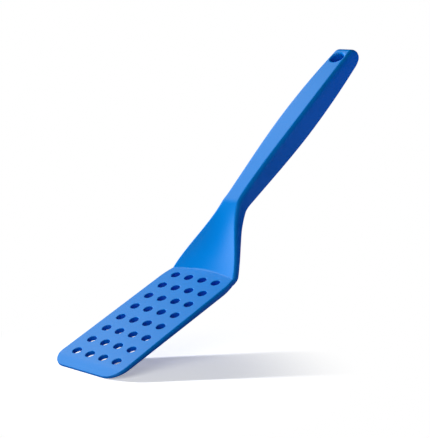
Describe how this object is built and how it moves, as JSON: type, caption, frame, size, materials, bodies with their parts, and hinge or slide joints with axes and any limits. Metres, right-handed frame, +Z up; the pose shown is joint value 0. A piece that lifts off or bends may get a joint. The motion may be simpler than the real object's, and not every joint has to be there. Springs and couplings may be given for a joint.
{
  "type": "slotted spatula",
  "caption": "Silicone turner with a perforated flat blade, a dished neck rising from its heel and a long bowed grip with a hanging hole, stiffened inside.",
  "frame": {"origin": "centre of the bounding box, on the surface that the heel of the blade and the end of the grip rest on", "axes": "+X along the tool from the blade's front edge to the grip's end, +Z up from the surface it lies on, +Y across the blade"},
  "size_m": [0.3258, 0.0622, 0.0421],
  "materials": {
    "silicone": "satin",
    "spring_steel": "satin",
    "filled_nylon": "matte"
  },
  "bodies": {
    "root": {"upper_skin": "silicone", "lower_skin": "silicone", "blade_core": "spring_steel", "handle_core": "filled_nylon", "tang_rivet_front": "spring_steel", "tang_rivet_rear": "spring_steel"}
  },
  "joints": []
}
